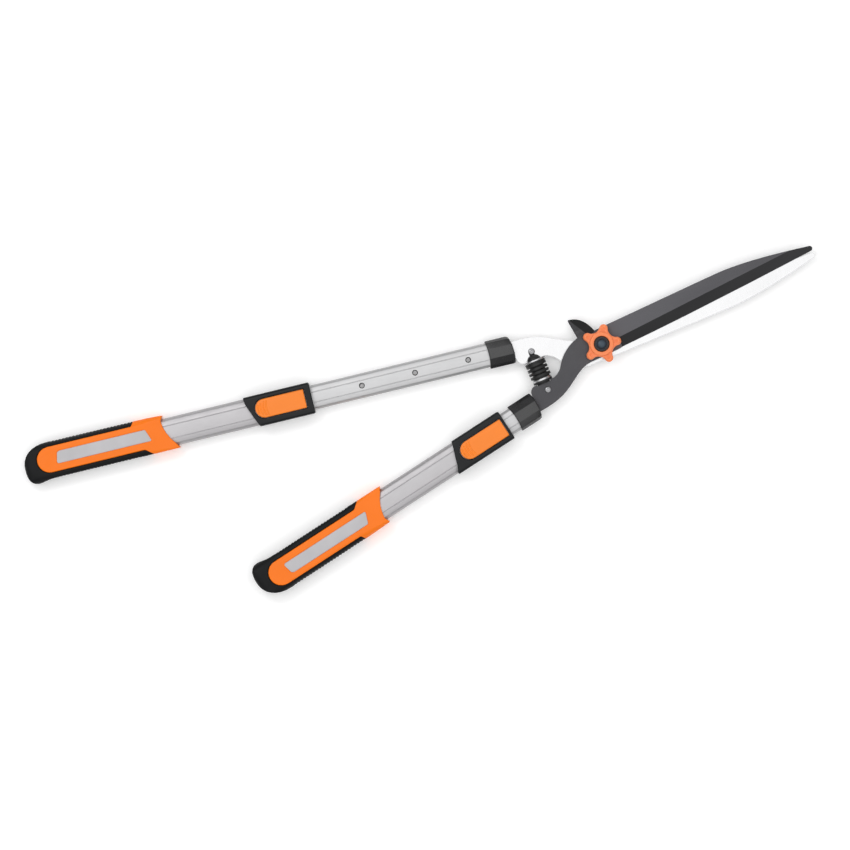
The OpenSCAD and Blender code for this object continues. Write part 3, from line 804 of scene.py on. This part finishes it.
def disc(node, place, body, finish, ease, inner=0.0, steps=4):
    """Round disc on the buffer's axis; ease has the radii of its low and high edge"""
    low, high = span(node)
    reach = (high[0] - low[0]) / 2
    corners = [(inner, low[1]), (reach, low[1]), (reach, high[1]), (inner, high[1])]
    profile = rounded(corners, [0, *ease, 0], steps)
    shape = turned([(max(r, 0.0), h) for r, h in profile], 96, hole=inner > 0)
    piece(node + "_disc", shape, place, body, (finish,), (node,))


def rivet(node, body):
    """Riveted pin with an eased, dimpled head at either end"""
    low, high = span(node)
    at, reach, ends = (low + high) / 2, (high[0] - low[0]) / 2, (high[2] - low[2]) / 2
    shank, dimple, under = 2.45, ends - 0.55, ends - 1.7
    half = [
        (0, dimple),
        (1.1, dimple),
        (1.6, ends),
        (reach - 2, ends - 0.05),
        (reach - 0.75, ends - 0.5),
        (reach, ends - 1.25),
        (reach, under),
        (shank, under),
    ]
    radii = [0, 0.15, 0.3, 0.6, 0.9, 0.2, 0.1, 0]
    outline = [(r, -h) for r, h in half] + half[::-1]
    profile = [tuple(p) for p in rounded(outline, radii + radii[::-1], 4)]
    place = ROW @ Matrix.Translation(at)
    shape = turned([(max(r, 0.0), h) for r, h in profile], 48, hole=False)
    piece(node + "_pin", shape, place, body, (rivet_steel,), (node,), sharp=50)


def saddle(node, body):
    """Moulding under a rivet, softened from the CAD part"""
    mesh = softened(node, ROW, voxel=0.42, rounds=3)
    piece(node + "_shell", mesh, ROW, body, (saddle_black,), (node,), sharp=60)


press = buffer_place()
buffer_skin(press)
disc("buffer_cap", press, "buffer_head", buffer_black, ease=(0.2, 1.7), steps=6)
disc(
    "buffer_washer",
    press,
    "front_arm",
    polished,
    ease=(0.35, 0.35),
    inner=BUFFER_STEM_R,
)
disc("stop_plate", press, "rear_arm", polished, ease=(0.5, 0.5))
for end, body in (("buffer", "front_arm"), ("stop", "rear_arm")):
    saddle(end + "_saddle", body)
    rivet(end + "_rivet", body)


# ---- collars and tubes --------------------------------------------------------------------


def tube_section(hw, hh, flat, groove=True):
    """Oval outline with shoulders, hw and hh to either side of its middle; a groove runs along
    either edge of the flat band"""
    deep = 0.7
    shoulder = [(flat + k * (hw - flat), h * hh) for k, h in ((0.66, 0.84), (0.92, 0.55))]
    right = [(hw, 0.24 * hh), shoulder[1], shoulder[0]]
    radii = [1.6, 2.0, 3.0]
    if groove:
        right += [(flat + 0.55, hh - 0.1), (flat + 0.2, hh - deep), (flat - 0.35, hh - deep)]
        right.append((flat - 0.7, hh))
        radii += [0.15, 0.1, 0.1, 0.15]
    else:
        right.append((flat, hh))
        radii.append(1.5)
    top = right + [(-v, z) for v, z in right[::-1]]
    ease = radii + radii[::-1]
    loop = top + [(-v, -z) for v, z in top]
    return anticlockwise(rounded(loop, ease + ease, 3))


def along(shape, section, u):
    return shape.ring([(u, v, z) for v, z in section])


def hole_places(node, place):
    """Places along a tube and radii of the round holes in its top wall"""
    inv = np.array(place.inverted())
    local = cad_points(node) @ inv[:3, :3].T + inv[:3, 3]
    top = local[(local[:, 2] > local[:, 2].max() - 0.01) & (np.abs(local[:, 1]) < 5)]
    ends = local[:, 0].min() + 3, local[:, 0].max() - 3
    us = np.sort(top[(top[:, 0] > ends[0]) & (top[:, 0] < ends[1]), 0])
    groups = np.split(us, np.where(np.diff(us) > 10)[0] + 1)
    return [(float((g[0] + g[-1]) / 2), float((g[-1] - g[0]) / 2)) for g in groups if len(g)]


def tube(side, node, size, finish, body):
    """Grooved tube, open at both ends, with funnel-shaped mouths on its index holes"""
    place = HAND[side]
    low, high = span(node, place)
    holes = hole_places(node, place)
    hw, hh, flat = size
    edge, overshoot = 0.3, 4
    lip, sink = 0.45, 0.7
    outer = tube_section(hw, hh, flat)
    inner = outer * np.array([(hw - TUBE_WALL) / hw, (hh - TUBE_WALL) / hh])
    ease = inset(outer, edge)
    shape = Shape()
    start, end = low[0], high[0]
    stations = np.linspace(start + edge, end - edge, 9)
    rings = [along(shape, ease, start)]
    rings += [along(shape, outer, u) for u in stations]
    rings += [along(shape, ease, end), along(shape, inner, end)]
    rings += [along(shape, inner, u) for u in stations[::-1]]
    rings.append(along(shape, inner, start))
    shape.walls(rings, loop=True)
    mesh = shape.mesh(node)
    tidy(mesh)
    cutters = []
    for u, radius in holes:
        mouth, bore = radius + lip, radius - sink
        upper = [(bore, hh - sink), (mouth, hh + 0.05), (mouth, hh + overshoot), (0, hh + overshoot)]
        profile = [(r, -h) for r, h in upper[::-1]] + upper
        drill = turned(profile, 40, hole=False).mesh("drill")
        drill.transform(Matrix.Translation((u, 0, 0)))
        cutters.append(drill)
    if cutters:
        mesh = carve(mesh, cutters)
    # The funnel walls round each hole take the second finish, painted shade
    for face in mesh.polygons:
        u, v = face.center[:2]
        near = any(math.hypot(u - at, v) < radius + lip + 0.05 for at, radius in holes)
        face.material_index = int(near and abs(face.normal.z) < 0.99)
    finishes = (finish, hole_rim_shade)
    piece(node + "_profile", mesh, place, body, finishes, (node,), sharp=30)


def matched(loop, other):
    """Outline resampled to one point in the direction of each point of another outline"""
    whole = 2 * math.pi
    sought, known = (np.arctan2(rows[:, 1], rows[:, 0]) % whole for rows in (other, loop))
    order = np.argsort(known)
    keys, values = known[order], loop[order]
    return np.stack([np.interp(sought, keys, values[:, k], period=whole) for k in (0, 1)], 1)


def collar(side):
    """Ferrule: flat band on top, a steeper shoulder towards the other handle"""
    place, node = HAND[side], side + "_collar"
    low, high = span(node, place)
    half, tall = high[1], high[2]
    top = [(half, 4.2), (half - 3.4, 9.6), (6.9, tall), (-5.8, tall), (-14.2, 7.5), (-half, 3.2)]
    loop = top + [(v, -z) for v, z in top[::-1]]
    radii = [1.5, 2.0, 1.2, 0.8, 2.0, 1.5]
    outer = anticlockwise(rounded(loop, radii + radii[::-1], 5))
    hw, hh, flat = INNER_TUBE
    cavity = tube_section(hw + 0.05, hh + 0.05, flat, groove=False)
    inner = matched(cavity, outer)
    start, end = low[0], high[0]

    def front(v):
        return start + np.interp(v, [-half, -10, 0, 10, half - 1, half], [1.5, 0.1, 0, 1.3, 4.5, 6.5])

    def back(v):
        return end - np.interp(v, [-half, -9, 0, 9, half], [0, 2, 2.6, 2, 0])

    shape = Shape()
    tube_start = span(side + "_inner_tube", place)[0][0]
    rings = []
    lip = ((1.3, 0.0), (0.75, 0.2), (0.3, 0.65), (0.0, 1.4))
    for by, at in lip:
        rings.append(shape.ring([(front(v) + at, v, z) for v, z in inset(outer, by)]))
    for t in (0.3, 0.6):
        rings.append(shape.ring([(front(v) * (1 - t) + back(v) * t, v, z) for v, z in outer]))
    for by, at in lip[::-1]:
        rings.append(shape.ring([(back(v) - at, v, z) for v, z in inset(outer, by * 0.7)]))
    rings.append(shape.ring([(back(v) - 0.1, v, z) for v, z in inner * 1.01]))
    rings.append(shape.ring([(back(v) - 0.6, v, z) for v, z in inner]))
    rings.append(shape.ring([(tube_start - 0.2, v, z) for v, z in inner]))
    shape.walls(rings)
    shape.cap(rings[0])
    shape.cap(rings[-1])
    piece(node + "_ferrule", shape, place, side + "_arm", (ferrule,), (node,), sharp=28)


for side in SIDES:
    collar(side)
    tube(side, side + "_inner_tube", INNER_TUBE, inner_alloy[side], side + "_arm")
    tube(side, side + "_outer_tube", OUTER_TUBE, outer_alloy[side], side + "_grip")
    for part in ("_collar_screw", "_lock_screw", "_lock_pin"):
        refinish(side + part, zinc, bevel=0.1)
    refinish(side + "_rocker_pin", dark_steel, bevel=0.1)
    for part in ("_tang_plug", "_tube_guide", "_tube_plug"):
        refinish(side + part, black, bevel=0.3)


# ---- locks --------------------------------------------------------------------------------


def lock_button(side):
    """Rocker with a crowned top, square at one end and round at the other, where four curved
    ribs give the thumb its hold"""
    place, node = HAND[side], side + "_lock_button"
    low, high = span(node, place)
    start, end, half = low[0], high[0], (high[1] - low[1]) / 2
    middle = (high[1] + low[1]) / 2
    round_u = end - half
    square_end = [(start, middle + half), (start, middle - half)]
    thumb_end = arc((round_u, middle), half, -90, 90, 30)
    loop = rounded(square_end + thumb_end, [1.6, 1.6] + [0] * len(thumb_end), 5)
    crest, pivot_u = high[2] - 0.2, (start + end) / 2 + 2
    rib_pitch, rib_bend, rib_tall, rib_wide = 3.6, 0.022, 0.8, 0.7

    def level(u, v):
        fall = 0.9 * ((u - pivot_u) / 36) ** 2
        cross = 0.5 * ((v - middle) / half) ** 2
        lift = 0.0
        for k in range(4):
            at = end - rib_pitch * (4 - k) - rib_bend * (v - middle) ** 2
            reach = half - 3.0 if k < 2 else half - 4.6 - 1.6 * (k - 2)
            if abs(v - middle) < reach:
                lift = max(lift, rib_tall * math.exp(-(((u - at) / rib_wide) ** 2)))
        return crest - fall - cross + lift

    shape = Shape()
    loop = anticlockwise(loop)
    dense = []
    for p, q in zip(loop, np.roll(loop, -1, 0)):
        parts = max(1, int(np.linalg.norm(q - p) / 0.6))
        dense += [p + (q - p) * k / parts for k in range(parts)]
    loop = np.array(dense)
    rim = np.array([level(u, v) for u, v in loop])
    under = high[2] - np.where(loop[:, 0] < pivot_u + 6, 4.4, 3.2)
    edge = 0.5
    rings = [shape.flat_ring(inset(loop, edge), under), shape.flat_ring(loop, under + edge)]
    rings += edge_rings(shape, loop, rim, radius=1.3, up=1)
    shape.walls(rings)
    shape.cap(rings[0])
    crown(shape, rings[-1], (start + half, middle), (round_u, middle), level, steps=28)
    piece(
        node + "_thumb",
        shape,
        place,
        side + "_button",
        (button_orange,),
        (node,),
        sharp=50,
    )


def lock_spring(side):
    """Bent leaf under the thumb end"""
    place, node = HAND[side], side + "_lock_spring"
    low, high = span(node, place)
    start, end = low[0], high[0]
    base, rise, thick = low[2], high[2] - low[2], 0.4
    foot, toe = 9.5, 2.6
    bends = [(start, 0), (start + foot, 0), (end - toe, rise - thick), (end, rise - thick)]
    upper = [(u, h + thick) for u, h in bends]
    loop = rounded(bends + upper[::-1], [0, 5, 5, 0, 0, 5, 5, 0], 5)
    shape = Shape()
    rings = [
        shape.ring([(u, v, base + h) for u, h in loop]) for v in (low[1], low[1] + 0.1, high[1])
    ]
    shape.walls(rings)
    shape.cap(rings[0])
    shape.cap(rings[-1])
    leaf = piece(node + "_leaf", shape, place, side + "_grip", (zinc,), (node,))
    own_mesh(leaf)


# ---- mouldings and grips ------------------------------------------------------------------


def vertex_rows(mesh):
    """Places and normals of a mesh's vertices"""
    rows = []
    for data, key in ((mesh.vertices, "co"), (mesh.vertex_normals, "vector")):
        flat = np.empty(len(mesh.vertices) * 3)
        data.foreach_get(key, flat)
        rows.append(flat.reshape(-1, 3))
    return rows


def close_seam(mesh, front, by):
    """Pushes the front ends of a grip's rubber forward, against the sleeve"""
    tips, blend = 32, 4
    spots, normals = vertex_rows(mesh)
    facing = np.clip((-normals[:, 0] - 0.2) / 0.4, 0, 1)
    near = np.clip((front + tips - spots[:, 0]) / blend, 0, 1)
    spots[:, 0] -= by * facing * near
    mesh.vertices.foreach_set("co", spots.ravel())
    mesh.update()


def cut_ribs(mesh, start, end, pitch, depth):
    """Rounded grooves across the upright sides of a grip, from start to end along it"""
    fade, core_half = 6, 19.6
    spots, normals = vertex_rows(mesh)
    u, v = spots[:, 0], spots[:, 1]
    upright = np.clip((0.75 - np.abs(normals[:, 2])) / 0.35, 0, 1)
    ends = np.clip((u - start) / fade, 0, 1) * np.clip((end - u) / fade, 0, 1)
    wave = 0.5 - 0.5 * np.cos(2 * math.pi * (u - start) / pitch)
    outer = np.abs(v) > core_half
    spots -= normals * (depth * wave * upright * ends * outer)[:, None]
    mesh.vertices.foreach_set("co", spots.ravel())


def moulding(side, name, node, finish, slot, ribbed=False, **soften):
    """Rounded copy of a part on the grip"""
    place = HAND[side]
    mesh = softened(side + node, place, **soften)
    if ribbed:
        low, high = span(side + node, place)
        close_seam(mesh, low[0], by=0.9)
        cut_ribs(mesh, start=low[0] + 14, end=high[0] - 38, pitch=4.6, depth=0.7)
    piece(side + name, mesh, place, side + "_grip", (finish,), (side + node,), sharp=60)


def grip_pad(side, node, up):
    """Soft pad with a pillowed face set in the core"""
    place, node = HAND[side], side + node
    low, high = span(node, place)
    u0, v0, u1, v1 = low[0], low[1], high[0], high[1]
    corners = [
        (u0, v0),
        (u1 - 1.4, v0),
        (u1, v0 + 2.2),
        (u1 - 2.8, v1 - 1.8),
        (u1 - 6, v1),
        (u0 + 5.8, v1),
    ]
    loop = rounded(corners, [2.0, 1.5, 2.0, 3.0, 3.0, 2.5], 6)
    face, floor = (high[2], low[2]) if up > 0 else (low[2], high[2])
    pillow = 0.15 * up
    crest, middle, half = face - pillow, (v0 + v1) / 2, (v1 - v0) / 2

    def level(_, v):
        return crest + pillow * (1 - ((v - middle) / half) ** 2)

    shape = Shape()
    loop = anticlockwise(loop)
    bottom = shape.flat_ring(loop, floor)
    rings = [bottom] + edge_rings(shape, loop, crest, radius=0.9, up=up)
    shape.walls(rings)
    shape.cap(bottom)
    crown(shape, rings[-1], (u0 + half, middle), (u1 - half, middle), level, steps=6)
    piece(node + "_pad", shape, place, side + "_grip", (pad_grey,), (node,), sharp=50)


for side in SIDES:
    lock_button(side)
    lock_spring(side)
    moulding(side, "_lock_shell", "_lock_housing", black, "black_plastic", voxel=0.55, rounds=8)
    moulding(
        side, "_grip_shell", "_grip_core", orange, "orange_plastic", voxel=0.8, rounds=6, shrink=0.12
    )
    moulding(
        side,
        "_grip_sleeve",
        "_grip_rubber",
        grip_skin,
        "grip_rubber",
        ribbed=True,
        voxel=0.8,
        rounds=6,
        shrink=0.22,
    )
    grip_pad(side, "_grip_insert", up=1)
    grip_pad(side, "_grip_insert_back", up=-1)


# ---- stage --------------------------------------------------------------------------------


def stage():
    """Pale floor just under the shears, glowing a little like a light table"""
    reach, gap = 60.0, 0.0002
    m = Nodes("pale_floor")
    cloud = m.spread(m.noise(1.5, detail=2.0), 0, 1)
    m.join(m.mix(cloud, (0.93, 0.93, 0.93), (0.95, 0.95, 0.95)), m.shader.inputs["Base Color"])
    m.set(Roughness=0.9, Specular_IOR_Level=0.1)
    m.set(Emission_Color=(1, 1, 1, 1), Emission_Strength=0.16)
    mesh = bpy.data.meshes.new("floor")
    corners = ((-1, -1), (1, -1), (1, 1), (-1, 1))
    level = cad_size[0].z - gap
    mesh.from_pydata([(x * reach, y * reach, level) for x, y in corners], [], [(0, 1, 2, 3)])
    mesh.materials.append(m.material)
    link("floor", mesh)


def area_light(name, place, aim, energy, size):
    lamp = bpy.data.lights.new(name, "AREA")
    lamp.energy, lamp.size = energy, size
    obj = link(name, lamp)
    obj.location = place
    obj.rotation_euler = (Vector(aim) - Vector(place)).to_track_quat("-Z", "Y").to_euler()


def sky():
    """Soft white dome, brightest above"""
    ramp = {"From Min": 0.6, "From Max": 0.95, "To Min": 0.45, "To Max": 1.8}
    world = bpy.data.worlds.new("studio")
    world.use_nodes = True
    tree = world.node_tree
    towards = tree.nodes.new("ShaderNodeTexCoord").outputs["Generated"]
    rise = tree.nodes.new("ShaderNodeSeparateXYZ")
    tree.links.new(towards, rise.inputs["Vector"])
    glow = tree.nodes.new("ShaderNodeMapRange")
    for socket, value in ramp.items():
        glow.inputs[socket].default_value = value
    tree.links.new(rise.outputs["Z"], glow.inputs["Value"])
    dome = tree.nodes["Background"]
    dome.inputs["Color"].default_value = (1, 1, 1, 1)
    tree.links.new(glow.outputs["Result"], dome.inputs["Strength"])
    return world


def camera_and_light():
    """Long lens straight above, its picture as wide as the photo's at the level of the blades"""
    scene = bpy.context.scene
    low, high = cad_size
    middle, width, turn = (-0.252, -0.006), 1.105, -23.3
    lens = bpy.data.cameras.new("camera")
    lens.lens, lens.sensor_width = 180, 36
    lens.clip_end = 20
    camera = link("camera", lens)
    level = (low.z + high.z) / 2
    camera.location = (*middle, level + width * lens.lens / lens.sensor_width)
    camera.rotation_euler = (0, 0, math.radians(turn))
    scene.camera = camera
    scene.world = sky()
    area_light("key", place=(-0.75, 1.0, 1.75), aim=(-0.22, 0.02, 0), energy=5, size=0.55)
    scene.view_settings.view_transform = "Standard"


stage()
camera_and_light()
